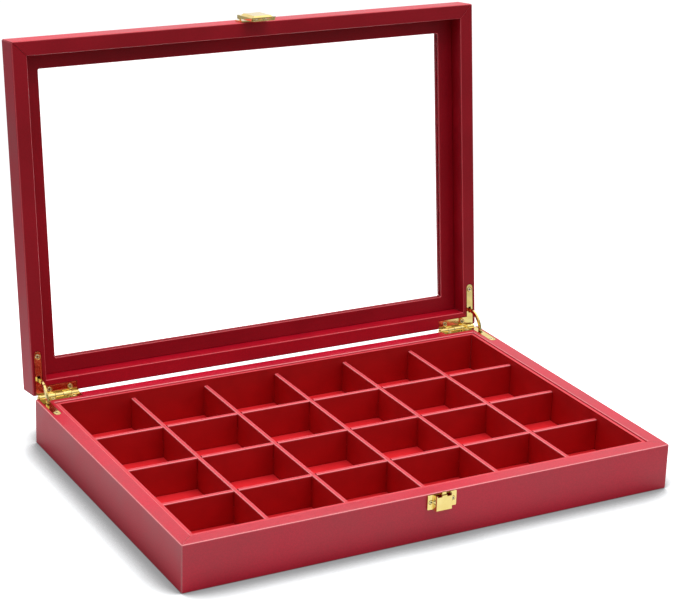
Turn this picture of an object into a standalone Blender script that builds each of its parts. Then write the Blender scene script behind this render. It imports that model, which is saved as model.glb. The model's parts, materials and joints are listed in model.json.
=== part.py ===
"""Jewelry tray with a glazed, hinged lid, standing open.

Metres, +Z up. The origin is the centre of the base's bottom face, the front
faces -Y, and the width runs along X. Every lid piece is modelled in its closed
place and then turned up about the hinge axis by its parent empty.
"""

import math

import bmesh
import bpy
from mathutils import Matrix, Vector

# Overall sizes
WIDTH = 0.3600
DEPTH = 0.2460
BASE_HEIGHT = 0.0328
LID_HEIGHT = 0.0198
OPEN_ANGLE = math.radians(96.8)

# Gaps and cutting allowances
CLEARANCE = 0.0003
SCREW_FIT = 0.00015
OVERRUN = 0.0020

# Rails of the base and of the lid
RAIL_WALL = 0.0104
EDGE_ROUND = 0.0010
INNER_EDGE_ROUND = 0.0006
ROUND_SEGMENTS = 3

# Bottom panel in its rebate
PANEL_THICK = 0.0025
PANEL_REBATE = 0.0040

# Liner, floor and dividers of the tray
LINER_WALL = 0.0025
LINER_DROP = 0.0009
LINER_ROUND = 0.0005
FLOOR_THICK = 0.0020
DIVIDER_THICK = 0.0032
DIVIDER_DROP = 0.0053
DIVIDER_ROUND = 0.0010
CELLS_ACROSS = 6
CELLS_DEEP = 4

# Glazing of the lid
WINDOW_INSET_SIDE = 0.0224
WINDOW_INSET_END = 0.0215
WINDOW_CORNER = 0.0010
FLANGE_THICK = 0.0022
GLASS_THICK = 0.0020
RETAINER_THICK = 0.0018
RETAINER_ROUND = 0.0006

# Hinge axis, behind the back face and below the rim
AXIS_BACK = 0.0018
AXIS_DROP = 0.0012

# Hinge leaves, seen from the rim they are let into
LEAF_THICK = 0.0012
LEG_INSET = 0.0024
LEG_WIDTH = 0.0050
LEG_LENGTH = 0.0318
BACK_LEG_DEPTH = 0.0064
BACK_LEG_LENGTH = 0.0325
LEAF_BACK_EDGE = 0.0012
BARREL_RADIUS = 0.0029
BARREL_START = 0.0034
KNUCKLES = 5
PIN_RADIUS = 0.0010
PIN_HEAD_RADIUS = 0.0017
PIN_HEAD_THICK = 0.0007
PIN_FIT = 0.00015
LEG_SCREW_FROM_END = 0.0038
BACK_SCREW_FROM_LEG = 0.0046
BACK_SCREW_FROM_END = 0.0052
BACK_SCREW_FROM_FRONT = 0.0029

# Quadrant stay
STAY_INNER_RADIUS = 0.0119
STAY_OUTER_RADIUS = 0.0146
STAY_THICK = 0.0014
STAY_LUG = 0.0013
STAY_LUG_ANGLE = math.radians(7.0)
STAY_SLOT_SLACK = 0.0014
STAY_SLOT_SIDE = 0.0004
STAY_FOLLOW_SHARE = 0.57

# Countersunk screws
HINGE_SCREW_HEAD = 0.0018
HINGE_SCREW_SHANK = 0.0009
HINGE_SCREW_LENGTH = 0.0080
CATCH_SCREW_HEAD = 0.0014
CATCH_SCREW_SHANK = 0.0007
CATCH_SCREW_LENGTH = 0.0060
SCREW_HEAD_HEIGHT = 0.0009
SCREW_TIP = 0.0010
RECESS_WIDTH = 0.0004
RECESS_DEPTH = 0.0005
RECESS_LENGTH_SHARE = 0.62

# Keeper on the base's front
CATCH_MIDDLE = 0.0006
KEEPER_WIDTH = 0.0212
KEEPER_HEIGHT = 0.0102
KEEPER_DROP = 0.0005
CATCH_PLATE_THICK = 0.0008
CATCH_PLATE_CORNER = 0.0005
BOX_FOOT_WIDTH = 0.0134
BOX_FACE_WIDTH = 0.0113
BOX_HEIGHT = 0.0103
BOX_DROP = 0.0009
BOX_PROUD = 0.0042
BOX_WALL = 0.0007
KEEPER_SCREW_FROM_END = 0.0024
NOTCH_WIDTH = 0.0033
NOTCH_DEPTH = 0.0010
TONGUE_WIDTH = 0.0030
TONGUE_PROUD = 0.0026
TONGUE_THICK = 0.0008
TONGUE_RISE = 0.0012

# Flap and its plate on the lid's front
LATCH_PLATE_WIDTH = 0.0212
LATCH_PLATE_HEIGHT = 0.0108
LATCH_PLATE_RISE = 0.0006
LATCH_SCREW_FROM_EDGE = 0.0040
LATCH_SCREW_FROM_LUG = 0.0023
LUG_THICK = 0.0008
LUG_RADIUS = 0.0010
LUG_PROUD = 0.0016
LUG_FROM_TOP = 0.0019
LUG_SIDE_GAP = 0.0006
LUG_FLAP_GAP = 0.00015
LATCH_PIN_RADIUS = 0.0005
FLAP_WIDTH = 0.0184
FLAP_THICK = 0.0008
FLAP_TILT = math.radians(1.7)
FLAP_TAIL = 0.0010
FLAP_TAIL_ROUND = 0.0004
FLAP_SKIRT = 0.0014
FLAP_END_REACH = 0.0021
PAD_RISE = 0.0013
PAD_WALL = 0.0007
PAD_FROM_SIDE = 0.0016
PAD_FROM_END = 0.0009
PAD_FROM_PIN = 0.0022
LIP_LENGTH = 0.0010
LIP_RISE = 0.0004

# Facets
BARREL_SEGMENTS = 28
SMALL_SEGMENTS = 20
ARC_STEPS = 28
CORNER_STEPS = 4
CORNER_STEPS_LARGE = 10

# Heights and planes worked out from the sizes above
HALF_WIDTH = WIDTH / 2
HALF_DEPTH = DEPTH / 2
LID_RIM = BASE_HEIGHT + CLEARANCE
LID_TOP = LID_RIM + LID_HEIGHT
INNER_HALF_WIDTH = HALF_WIDTH - RAIL_WALL
INNER_HALF_DEPTH = HALF_DEPTH - RAIL_WALL
TRAY_BOTTOM = PANEL_THICK + CLEARANCE
FLOOR_TOP = TRAY_BOTTOM + FLOOR_THICK
LINER_TOP = BASE_HEIGHT - LINER_DROP
LINER_HALF_WIDTH = INNER_HALF_WIDTH - CLEARANCE
LINER_HALF_DEPTH = INNER_HALF_DEPTH - CLEARANCE
TRAY_HALF_WIDTH = LINER_HALF_WIDTH - LINER_WALL
TRAY_HALF_DEPTH = LINER_HALF_DEPTH - LINER_WALL
DIVIDER_BOTTOM = FLOOR_TOP + CLEARANCE
DIVIDER_TOP = BASE_HEIGHT - DIVIDER_DROP
LAP_HEIGHT = (DIVIDER_BOTTOM + DIVIDER_TOP) / 2
FLANGE_BOTTOM = LID_TOP - FLANGE_THICK
GLASS_TOP = FLANGE_BOTTOM - CLEARANCE
GLASS_BOTTOM = GLASS_TOP - GLASS_THICK
RETAINER_TOP = GLASS_BOTTOM - CLEARANCE
RETAINER_BOTTOM = RETAINER_TOP - RETAINER_THICK
AXIS_Y = HALF_DEPTH + AXIS_BACK
AXIS_Z = BASE_HEIGHT - AXIS_DROP
HINGE_AXIS = Vector((0, AXIS_Y, AXIS_Z))
LEG_MIDDLE = LEG_INSET + LEG_WIDTH / 2
BARREL_LENGTH = BACK_LEG_LENGTH - BARREL_START
MITRE_BACKOFF = CLEARANCE / math.sqrt(2)
FRONT_FACE = -HALF_DEPTH
PLATE_BACK = FRONT_FACE - CLEARANCE
PLATE_FRONT = PLATE_BACK - CATCH_PLATE_THICK
BOX_TOP = BASE_HEIGHT - BOX_DROP
BOX_LOW = BOX_TOP - BOX_HEIGHT
TONGUE_TOP = BASE_HEIGHT + TONGUE_RISE
LUG_SIDE = FLAP_WIDTH / 2 - FLAP_THICK - LUG_SIDE_GAP - LUG_THICK
FLAP_AXIS = Vector((CATCH_MIDDLE, PLATE_FRONT - LUG_PROUD,
                    LID_RIM + LATCH_PLATE_RISE + LATCH_PLATE_HEIGHT - LUG_FROM_TOP))
FLAP_INSIDE = FLAP_AXIS.y - LUG_RADIUS - LUG_FLAP_GAP
FLAP_BOTTOM = BOX_LOW - FLAP_END_REACH


def clear_scene():
    """Remove whatever the file holds, so that only the tray is left."""
    for obj in list(bpy.data.objects):
        bpy.data.objects.remove(obj, do_unlink=True)


def make_collection(name):
    collection = bpy.data.collections.new(name)
    bpy.context.scene.collection.children.link(collection)
    return collection


def make_material(name, colour, roughness, metallic=0.0, alpha=1.0):
    material = bpy.data.materials.new(name)
    material.use_nodes = True
    shader = material.node_tree.nodes["Principled BSDF"]
    shader.inputs["Base Color"].default_value = (*colour, 1.0)
    shader.inputs["Roughness"].default_value = roughness
    shader.inputs["Metallic"].default_value = metallic
    shader.inputs["Alpha"].default_value = alpha
    return material


clear_scene()
PARTS = make_collection("jewelry_tray")
CUTTERS = make_collection("cutters")

RED_RAIL = make_material("red lacquered wood", (0.42, 0.02, 0.04), 0.35)
RED_LINING = make_material("red lining board", (0.55, 0.01, 0.01), 0.5)
RAW_PANEL = make_material("dark fibreboard", (0.12, 0.05, 0.04), 0.7)
GOLD = make_material("gilt steel", (0.83, 0.62, 0.27), 0.25, metallic=1.0)
CLEAR_GLASS = make_material("clear glass", (0.95, 0.97, 0.97), 0.02, alpha=0.2)


def link(obj, collection, material=None):
    collection.objects.link(obj)
    if collection is CUTTERS:
        obj.hide_render = True
        obj.display_type = "WIRE"
    if material:
        obj.data.materials.clear()
        obj.data.materials.append(material)
    return obj


def object_from_bmesh(name, shape, collection, material, location):
    mesh = bpy.data.meshes.new(name)
    bmesh.ops.recalc_face_normals(shape, faces=shape.faces)
    shape.to_mesh(mesh)
    shape.free()
    obj = bpy.data.objects.new(name, mesh)
    obj.location = location
    return link(obj, collection, material)


def block(name, low, high, collection=CUTTERS, material=None):
    """A box between two corners, with its origin at its centre."""
    low = Vector(low)
    high = Vector(high)
    shape = bmesh.new()
    bmesh.ops.create_cube(shape, size=1.0)
    bmesh.ops.scale(shape, vec=high - low, verts=shape.verts)
    return object_from_bmesh(name, shape, collection, material, (low + high) / 2)


TURN_TO_AXIS = {
    "X": Matrix.Rotation(math.pi / 2, 4, "Y"),
    "Y": Matrix.Rotation(-math.pi / 2, 4, "X"),
    "Z": Matrix.Identity(4),
}


def rod(name, centre, radius, length, axis="X", end_radius=None, segments=SMALL_SEGMENTS,
        collection=CUTTERS, material=None):
    """A cylinder or a cone along an axis, with its origin at its middle."""
    if end_radius is None:
        end_radius = radius
    shape = bmesh.new()
    bmesh.ops.create_cone(shape, cap_ends=True, segments=segments,
                          radius1=radius, radius2=end_radius, depth=length)
    bmesh.ops.transform(shape, matrix=TURN_TO_AXIS[axis], verts=shape.verts)
    return object_from_bmesh(name, shape, collection, material, centre)


def freeze(obj):
    """Replace an object's mesh by the mesh that its modifiers give."""
    bpy.context.view_layer.update()
    graph = bpy.context.evaluated_depsgraph_get()
    mesh = bpy.data.meshes.new_from_object(obj.evaluated_get(graph))
    mesh.name = obj.name
    obj.modifiers.clear()
    obj.data = mesh
    return obj


def combine(obj, others, operation="DIFFERENCE"):
    """Cut, join or intersect an object with others, which are then removed."""
    for other in others:
        step = obj.modifiers.new(other.name, "BOOLEAN")
        step.operation = operation
        step.solver = "EXACT"
        step.object = other
    freeze(obj)
    for other in others:
        bpy.data.objects.remove(other, do_unlink=True)
    return obj


PLANE_OF_AXIS = {
    "X": Matrix(((0, 0, 1), (1, 0, 0), (0, 1, 0))),
    "Y": Matrix(((1, 0, 0), (0, 0, -1), (0, 1, 0))),
    "Z": Matrix.Identity(3),
}


def outline_plate(name, points, axis, low, high, collection=CUTTERS, material=None):
    """A flat outline, filled and given thickness from low to high along an axis.

    The points are (y, z) for axis X, (x, z) for axis Y and (x, y) for axis Z.
    """
    curve = bpy.data.curves.new(name, "CURVE")
    curve.dimensions = "2D"
    curve.fill_mode = "BOTH"
    curve.extrude = (high - low) / 2
    spline = curve.splines.new("POLY")
    spline.points.add(len(points) - 1)
    for place, point in zip(spline.points, points):
        place.co = (point[0], point[1], 0, 1)
    spline.use_cyclic_u = True
    guide = bpy.data.objects.new(name + " outline", curve)
    offset = Vector([(high + low) / 2 if axis == letter else 0 for letter in "XYZ"])
    guide.matrix_world = Matrix.Translation(offset) @ PLANE_OF_AXIS[axis].to_4x4()
    CUTTERS.objects.link(guide)
    bpy.context.view_layer.update()
    graph = bpy.context.evaluated_depsgraph_get()
    mesh = bpy.data.meshes.new_from_object(guide.evaluated_get(graph))
    mesh.transform(PLANE_OF_AXIS[axis].to_4x4())
    shape = bmesh.new()
    shape.from_mesh(mesh)
    bmesh.ops.remove_doubles(shape, verts=shape.verts, dist=SCREW_FIT / 10)
    bpy.data.objects.remove(guide, do_unlink=True)
    return object_from_bmesh(name, shape, collection, material, offset)


def arc(centre, radius, start, end, steps):
    """Points on a circle's arc from one angle to another, both ends included."""
    points = []
    for step in range(steps + 1):
        angle = start + (end - start) * step / steps
        points.append((centre[0] + radius * math.cos(angle), centre[1] + radius * math.sin(angle)))
    return points


def rounded_rectangle(half_width, half_depth, radius, steps=CORNER_STEPS):
    """The outline of a rectangle about zero with round corners."""
    points = []
    corners = ((1, 1, 0), (-1, 1, 1), (-1, -1, 2), (1, -1, 3))
    for side_x, side_y, quarter in corners:
        centre = (side_x * (half_width - radius), side_y * (half_depth - radius))
        start = quarter * math.pi / 2
        points += arc(centre, radius, start, start + math.pi / 2, steps)
    return points


def shifted(points, across, up):
    return [(x + across, y + up) for x, y in points]


def round_edges(obj, radius, chosen, segments=ROUND_SEGMENTS):
    """Round the edges whose two ends are both picked by the test, in world places."""
    shape = bmesh.new()
    shape.from_mesh(obj.data)
    edges = []
    for edge in shape.edges:
        first, second = (obj.location + vert.co for vert in edge.verts)
        if chosen(first, second):
            edges.append(edge)
    bmesh.ops.bevel(shape, geom=edges, offset=radius, segments=segments, profile=0.5,
                    affect="EDGES", clamp_overlap=True)
    shape.to_mesh(obj.data)
    shape.free()
    return obj


def same(first, second):
    return abs(first - second) < SCREW_FIT / 10


def level_edges(height):
    """A test for edges that lie at one height."""
    return lambda first, second: same(first.z, height) and same(second.z, height)


def smooth(obj):
    obj.data.shade_smooth()
    obj.data.set_sharp_from_angle(angle=math.radians(35.0))
    return obj


def pivot(name, place, parent=None, turn=0.0):
    """An empty on a joint's axis, which carries the pieces that move about it."""
    empty = bpy.data.objects.new(name, None)
    PARTS.objects.link(empty)
    empty.location = place
    empty.rotation_euler = (turn, 0, 0)
    if parent:
        empty.parent = parent
        empty.matrix_parent_inverse = Matrix.Translation(-parent.location)
    return empty


LID_PIVOT = pivot("lid_pivot", HINGE_AXIS, turn=-OPEN_ANGLE)


def carry(obj, empty):
    """Hang a piece, modelled in its unturned place, on an empty that turns it."""
    obj.parent = empty
    obj.matrix_parent_inverse = Matrix.Translation(-empty.location)
    return obj


def mitre_region(name, side, half_width, half_depth, reach, low, high):
    """The space of one side of a mitred frame, held back at both 45 degree ends."""
    outer_w = half_width + OVERRUN
    outer_d = half_depth + OVERRUN
    span = reach + OVERRUN
    if side in ("front", "back"):
        sign = -1 if side == "front" else 1
        long_end = outer_w - MITRE_BACKOFF
        short_end = long_end - span
        points = [(-long_end, sign * outer_d), (long_end, sign * outer_d),
                  (short_end, sign * (outer_d - span)), (-short_end, sign * (outer_d - span))]
    else:
        sign = -1 if side == "left" else 1
        long_end = outer_d - MITRE_BACKOFF
        short_end = long_end - span
        points = [(sign * outer_w, -long_end), (sign * outer_w, long_end),
                  (sign * (outer_w - span), short_end), (sign * (outer_w - span), -short_end)]
    return outline_plate(name, points, "Z", low - OVERRUN, high + OVERRUN)


SIDES = ("front", "back", "left", "right")


def split_frame(frame, prefix, suffix, half_width, half_depth, reach, low, high, material):
    """Saw a closed frame into four mitred pieces, and remove the frame."""
    pieces = {}
    for side in SIDES:
        name = prefix + "_" + side + suffix
        piece = bpy.data.objects.new(name, frame.data.copy())
        piece.location = frame.location
        link(piece, PARTS, material)
        region = mitre_region(name + " region", side, half_width, half_depth, reach, low, high)
        combine(piece, [region], "INTERSECT")
        pieces[side] = smooth(piece)
    bpy.data.objects.remove(frame, do_unlink=True)
    return pieces


def rounded_block(name, half_width, half_depth, low, high, radius):
    """A box with every edge rounded."""
    solid = block(name, (-half_width, -half_depth, low), (half_width, half_depth, high))
    return round_edges(solid, radius, lambda first, second: True)


def round_inner_rim(frame, half_width, half_depth, rim):
    """Round the inner edge of a frame's rim, all the way round."""

    def inner_edge(first, second):
        along_x = same(abs(first.y), half_depth) and same(first.y, second.y)
        along_y = same(abs(first.x), half_width) and same(first.x, second.x)
        return level_edges(rim)(first, second) and (along_x or along_y)

    return round_edges(frame, INNER_EDGE_ROUND, inner_edge)


def on_outside(point, half_width, half_depth):
    return same(abs(point.x), half_width) or same(abs(point.y), half_depth)


# Hinge shapes shared by the leaves and by what is cut for them

def from_side(side, inset):
    """The x of a place that lies a given way in from the left or right face."""
    return side * (HALF_WIDTH - inset)


def leaf_outline(side, grow=0.0, barrel_edge=None):
    """The L of a hinge leaf in plan, with its side leg ending in a half circle.

    With a barrel edge given, the outline runs out to it over the barrel's length.
    """
    inner = LEG_INSET - grow
    outer = LEG_INSET + LEG_WIDTH + grow
    back = LEAF_BACK_EDGE - grow
    front = BACK_LEG_DEPTH + grow
    end = BACK_LEG_LENGTH + grow
    end_centre = LEG_LENGTH - LEG_WIDTH / 2
    tip = arc((LEG_MIDDLE, end_centre), LEG_WIDTH / 2 + grow, 0.0, math.pi, CORNER_STEPS_LARGE)
    points = [(inner, back), (end, back)]
    if barrel_edge is not None:
        start = BARREL_START - grow
        points = [(inner, back), (start, back), (start, barrel_edge), (end, barrel_edge)]
    points += [(end, front), (outer, front)] + tip
    return [(from_side(side, inset), HALF_DEPTH - depth) for inset, depth in points]


def knuckle_spans():
    """The start and end of each knuckle, measured in from the side face."""
    pitch = (BARREL_LENGTH + CLEARANCE) / KNUCKLES
    length = pitch - CLEARANCE
    return [(BARREL_START + pitch * index, BARREL_START + pitch * index + length)
            for index in range(KNUCKLES)]


def span_x(side, start, end):
    """Two insets from the side face as a low and a high x."""
    return sorted((from_side(side, start), from_side(side, end)))


def stay_slot(side, low, high, grow=0.0):
    """The slot that the stay passes through, as a cutter from low to high."""
    half = STAY_THICK / 2 + STAY_SLOT_SIDE + grow
    left, right = span_x(side, LEG_MIDDLE - half, LEG_MIDDLE + half)
    near = AXIS_Y - math.sqrt(STAY_INNER_RADIUS ** 2 - (LID_RIM + LEAF_THICK - AXIS_Z) ** 2) + CLEARANCE
    far = AXIS_Y - STAY_OUTER_RADIUS - STAY_SLOT_SLACK
    return block("stay slot", (left, far, low), (right, near, high))


def screw_places(side):
    """The three screws of a leaf, in plan."""
    places = [(from_side(side, LEG_MIDDLE), HALF_DEPTH - LEG_LENGTH + LEG_SCREW_FROM_END)]
    for inset in (LEG_INSET + LEG_WIDTH + BACK_SCREW_FROM_LEG, BACK_LEG_LENGTH - BACK_SCREW_FROM_END):
        places.append((from_side(side, inset), HALF_DEPTH - BACK_LEG_DEPTH + BACK_SCREW_FROM_FRONT))
    return places


LUG_INNER_RADIUS = STAY_INNER_RADIUS - STAY_LUG
STAY_LOW_ANGLE = -math.asin((LEAF_THICK + CLEARANCE - AXIS_DROP) / LUG_INNER_RADIUS)
STAY_LID_ANGLE = math.asin((LID_RIM + LEAF_THICK + CLEARANCE - AXIS_Z) / LUG_INNER_RADIUS)
STAY_START = STAY_LOW_ANGLE - STAY_LUG_ANGLE
STAY_END = OPEN_ANGLE + STAY_LID_ANGLE + STAY_LUG_ANGLE
CLOSED_REACH = max(-STAY_START + OPEN_ANGLE * STAY_FOLLOW_SHARE, STAY_END - OPEN_ANGLE * STAY_FOLLOW_SHARE)


def stay_pocket(side, low, high):
    """The mortise in a side rail that takes the stay when the lid is down."""
    half = STAY_THICK / 2 + STAY_SLOT_SIDE
    left, right = span_x(side, LEG_MIDDLE - half, LEG_MIDDLE + half)
    near = AXIS_Y - LUG_INNER_RADIUS * math.cos(CLOSED_REACH) + CLEARANCE
    far = AXIS_Y - STAY_OUTER_RADIUS - STAY_SLOT_SLACK
    return block("stay pocket", (left, far, low), (right, near, high))


POCKET_DEPTH = STAY_OUTER_RADIUS * math.sin(CLOSED_REACH) + 2 * CLEARANCE


def hinge_cutters(side, lid):
    """Everything that the base frame or the lid frame loses to one hinge."""
    rim = LID_RIM if lid else BASE_HEIGHT
    inward = 1 if lid else -1
    floor = rim + inward * (LEAF_THICK + CLEARANCE)
    outside = rim - inward * OVERRUN
    low, high = sorted((floor, outside))
    left, right = span_x(side, BARREL_START - 2 * CLEARANCE, BACK_LEG_LENGTH + 2 * CLEARANCE)
    cutters = [
        outline_plate("mortise", leaf_outline(side, CLEARANCE, -OVERRUN), "Z", low, high),
        rod("barrel relief", ((left + right) / 2, AXIS_Y, AXIS_Z), BARREL_RADIUS + CLEARANCE,
            right - left, segments=BARREL_SEGMENTS),
    ]
    low, high = sorted((AXIS_Z + inward * POCKET_DEPTH, outside))
    cutters.append(stay_pocket(side, low, high))
    depth = HINGE_SCREW_LENGTH + CLEARANCE
    for x, y in screw_places(side):
        low, high = sorted((rim + inward * depth, outside))
        cutters.append(rod("pilot hole", (x, y, (low + high) / 2), HINGE_SCREW_SHANK + CLEARANCE,
                           high - low, "Z", segments=SMALL_SEGMENTS // 2))
    return cutters


# Base

def catch_screw_places():
    """The two screws of the keeper, on the base's front."""
    reach = KEEPER_WIDTH / 2 - KEEPER_SCREW_FROM_END
    return [(CATCH_MIDDLE + side * reach, BASE_HEIGHT - KEEPER_DROP - KEEPER_HEIGHT / 2) for side in (-1, 1)]


def latch_screw_places():
    """The two screws of the latch plate, on the lid's front."""
    reach = LUG_SIDE - LATCH_SCREW_FROM_LUG
    height = LID_RIM + LATCH_PLATE_RISE + LATCH_SCREW_FROM_EDGE
    return [(CATCH_MIDDLE + side * reach, height) for side in (-1, 1)]


def front_pilot_holes(places):
    length = CATCH_SCREW_LENGTH + OVERRUN
    middle = PLATE_FRONT + CATCH_SCREW_LENGTH + CLEARANCE - length / 2
    return [rod("pilot hole", (x, middle, z), CATCH_SCREW_SHANK + CLEARANCE, length, "Y",
                segments=SMALL_SEGMENTS // 2) for x, z in places]


def make_base_rails():
    """Four mitred rails, with the rebate for the panel and the hinges' mortises."""
    frame = rounded_block("base frame", HALF_WIDTH, HALF_DEPTH, 0, BASE_HEIGHT, EDGE_ROUND)
    rebate_w = INNER_HALF_WIDTH + PANEL_REBATE
    rebate_d = INNER_HALF_DEPTH + PANEL_REBATE
    combine(frame, [block("opening", (-INNER_HALF_WIDTH, -INNER_HALF_DEPTH, -OVERRUN),
                          (INNER_HALF_WIDTH, INNER_HALF_DEPTH, BASE_HEIGHT + OVERRUN))])
    round_inner_rim(frame, INNER_HALF_WIDTH, INNER_HALF_DEPTH, BASE_HEIGHT)
    cutters = [block("rebate", (-rebate_w, -rebate_d, -OVERRUN), (rebate_w, rebate_d, PANEL_THICK + CLEARANCE))]
    for side in (-1, 1):
        cutters += hinge_cutters(side, lid=False)
    cutters += front_pilot_holes(catch_screw_places())
    combine(frame, cutters)
    split_frame(frame, "base", "_rail", HALF_WIDTH, HALF_DEPTH, RAIL_WALL, 0, BASE_HEIGHT, RED_RAIL)


def make_bottom_panel():
    """The panel lies flush with the rails' bottom, and the tray stands on it."""
    half_w = INNER_HALF_WIDTH + PANEL_REBATE - CLEARANCE
    half_d = INNER_HALF_DEPTH + PANEL_REBATE - CLEARANCE
    block("bottom_panel", (-half_w, -half_d, 0), (half_w, half_d, PANEL_THICK), PARTS, RAW_PANEL)


def make_liner():
    """Four thin mitred walls that line the rails and stop just below their rim."""
    frame = block("liner frame", (-LINER_HALF_WIDTH, -LINER_HALF_DEPTH, TRAY_BOTTOM),
                  (LINER_HALF_WIDTH, LINER_HALF_DEPTH, LINER_TOP))
    round_edges(frame, LINER_ROUND, level_edges(LINER_TOP))
    combine(frame, [block("liner hole", (-TRAY_HALF_WIDTH, -TRAY_HALF_DEPTH, TRAY_BOTTOM - OVERRUN),
                          (TRAY_HALF_WIDTH, TRAY_HALF_DEPTH, LINER_TOP + OVERRUN))])
    split_frame(frame, "liner", "", LINER_HALF_WIDTH, LINER_HALF_DEPTH, LINER_WALL,
                TRAY_BOTTOM, LINER_TOP, RED_LINING)


def make_tray_floor():
    half_w = TRAY_HALF_WIDTH - CLEARANCE
    half_d = TRAY_HALF_DEPTH - CLEARANCE
    block("tray_floor", (-half_w, -half_d, TRAY_BOTTOM), (half_w, half_d, FLOOR_TOP), PARTS, RED_LINING)


def divider_places(half_span, cells):
    """The middle of each divider between a number of equal cells."""
    free = 2 * half_span - (cells - 1) * DIVIDER_THICK
    pitch = free / cells + DIVIDER_THICK
    start = -half_span + free / cells + DIVIDER_THICK / 2
    return [start + pitch * index for index in range(cells - 1)]


COLUMNS = divider_places(TRAY_HALF_WIDTH, CELLS_ACROSS)
ROWS = divider_places(TRAY_HALF_DEPTH, CELLS_DEEP)


def make_divider(name, low, high, notches):
    """A wall of the tray with a rounded top, notched where others cross it."""
    divider = block(name, low, high, PARTS, RED_LINING)
    long_axis = 0 if high[0] - low[0] > high[1] - low[1] else 1

    def long_top_edge(first, second):
        return level_edges(DIVIDER_TOP)(first, second) and not same(first[long_axis], second[long_axis])

    round_edges(divider, DIVIDER_ROUND, long_top_edge)
    combine(divider, notches)
    smooth(divider)


def make_dividers():
    """Long dividers notched from the top, short ones from below, half lapped."""
    half = DIVIDER_THICK / 2
    notch = half + CLEARANCE
    reach_w = TRAY_HALF_WIDTH - CLEARANCE
    reach_d = TRAY_HALF_DEPTH - CLEARANCE
    for index, y in enumerate(ROWS):
        notches = [block("notch", (x - notch, y - 2 * half, LAP_HEIGHT),
                         (x + notch, y + 2 * half, DIVIDER_TOP + OVERRUN)) for x in COLUMNS]
        make_divider("long_divider_%d" % (index + 1), (-reach_w, y - half, DIVIDER_BOTTOM),
                     (reach_w, y + half, DIVIDER_TOP), notches)
    for index, x in enumerate(COLUMNS):
        notches = [block("notch", (x - 2 * half, y - notch, DIVIDER_BOTTOM - OVERRUN),
                         (x + 2 * half, y + notch, LAP_HEIGHT + CLEARANCE)) for y in ROWS]
        make_divider("short_divider_%d" % (index + 1), (x - half, -reach_d, DIVIDER_BOTTOM),
                     (x + half, reach_d, DIVIDER_TOP), notches)


# Lid

def window_outline(corner=WINDOW_CORNER):
    return rounded_rectangle(HALF_WIDTH - WINDOW_INSET_SIDE, HALF_DEPTH - WINDOW_INSET_END, corner)


def make_lid_rails():
    """Four mitred rails, each with a flange that holds the glass from above."""
    frame = rounded_block("lid frame", HALF_WIDTH, HALF_DEPTH, LID_RIM, LID_TOP, EDGE_ROUND)
    recess = block("recess", (-INNER_HALF_WIDTH, -INNER_HALF_DEPTH, LID_RIM - OVERRUN),
                   (INNER_HALF_WIDTH, INNER_HALF_DEPTH, FLANGE_BOTTOM))
    window = outline_plate("window", window_outline(), "Z", LID_RIM, LID_TOP + OVERRUN)
    combine(frame, [recess, window])
    round_inner_rim(frame, INNER_HALF_WIDTH, INNER_HALF_DEPTH, LID_RIM)
    cutters = []
    for side in (-1, 1):
        cutters += hinge_cutters(side, lid=True)
    cutters += front_pilot_holes(latch_screw_places())
    combine(frame, cutters)
    rails = split_frame(frame, "lid", "_rail", HALF_WIDTH, HALF_DEPTH, WINDOW_INSET_SIDE + WINDOW_CORNER,
                        LID_RIM, LID_TOP, RED_RAIL)
    for rail in rails.values():
        carry(rail, LID_PIVOT)


def make_glazing():
    """The pane lies on the flange, and a thin frame behind it holds it there."""
    half_w = INNER_HALF_WIDTH - CLEARANCE
    half_d = INNER_HALF_DEPTH - CLEARANCE
    pane = block("glass_pane", (-half_w, -half_d, GLASS_BOTTOM), (half_w, half_d, GLASS_TOP), PARTS, CLEAR_GLASS)
    carry(pane, LID_PIVOT)
    retainer = block("glass_retainer", (-half_w, -half_d, RETAINER_BOTTOM), (half_w, half_d, RETAINER_TOP),
                     PARTS, RED_RAIL)
    window = outline_plate("window", window_outline(), "Z", RETAINER_BOTTOM - OVERRUN, RETAINER_TOP + OVERRUN)
    combine(retainer, [window])

    def window_edge(first, second):
        inside = not on_outside(first, half_w, half_d) and not on_outside(second, half_w, half_d)
        return inside and level_edges(RETAINER_BOTTOM)(first, second)

    round_edges(retainer, RETAINER_ROUND, window_edge)
    smooth(retainer)
    carry(retainer, LID_PIVOT)


# Screws

def turned_mesh(name, profile):
    """The mesh of a profile of radii and heights, given from top to bottom, turned about Z."""
    shape = bmesh.new()
    verts = [shape.verts.new((radius, 0, height)) for radius, height in profile]
    for first, second in zip(verts, verts[1:]):
        shape.edges.new((first, second))
    mesh = bpy.data.meshes.new(name)
    shape.to_mesh(mesh)
    shape.free()
    guide = link(bpy.data.objects.new(name, mesh), CUTTERS)
    turn = guide.modifiers.new("turn", "SCREW")
    turn.axis = "Z"
    turn.steps = SMALL_SEGMENTS
    turn.render_steps = SMALL_SEGMENTS
    turn.use_merge_vertices = True
    turn.merge_threshold = SCREW_FIT / 100
    freeze(guide)
    mesh = guide.data
    bpy.data.objects.remove(guide, do_unlink=True)
    return mesh


def screw_mesh(head, shank, length):
    """A countersunk screw with its head's top at zero and its tip below."""
    profile = [(0, 0), (head, 0), (shank, -SCREW_HEAD_HEIGHT), (shank, SCREW_TIP - length), (0, -length)]
    screw = link(bpy.data.objects.new("screw", turned_mesh("screw", profile)), CUTTERS)
    reach = head * RECESS_LENGTH_SHARE
    half = RECESS_WIDTH / 2
    recesses = [block("recess", (-reach, -half, -RECESS_DEPTH), (reach, half, OVERRUN)),
                block("recess", (-half, -reach, -RECESS_DEPTH), (half, reach, OVERRUN))]
    combine(screw, [combine(recesses[0], [recesses[1]], "UNION")])
    smooth(screw)
    mesh = screw.data
    bpy.data.objects.remove(screw, do_unlink=True)
    return mesh


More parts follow.
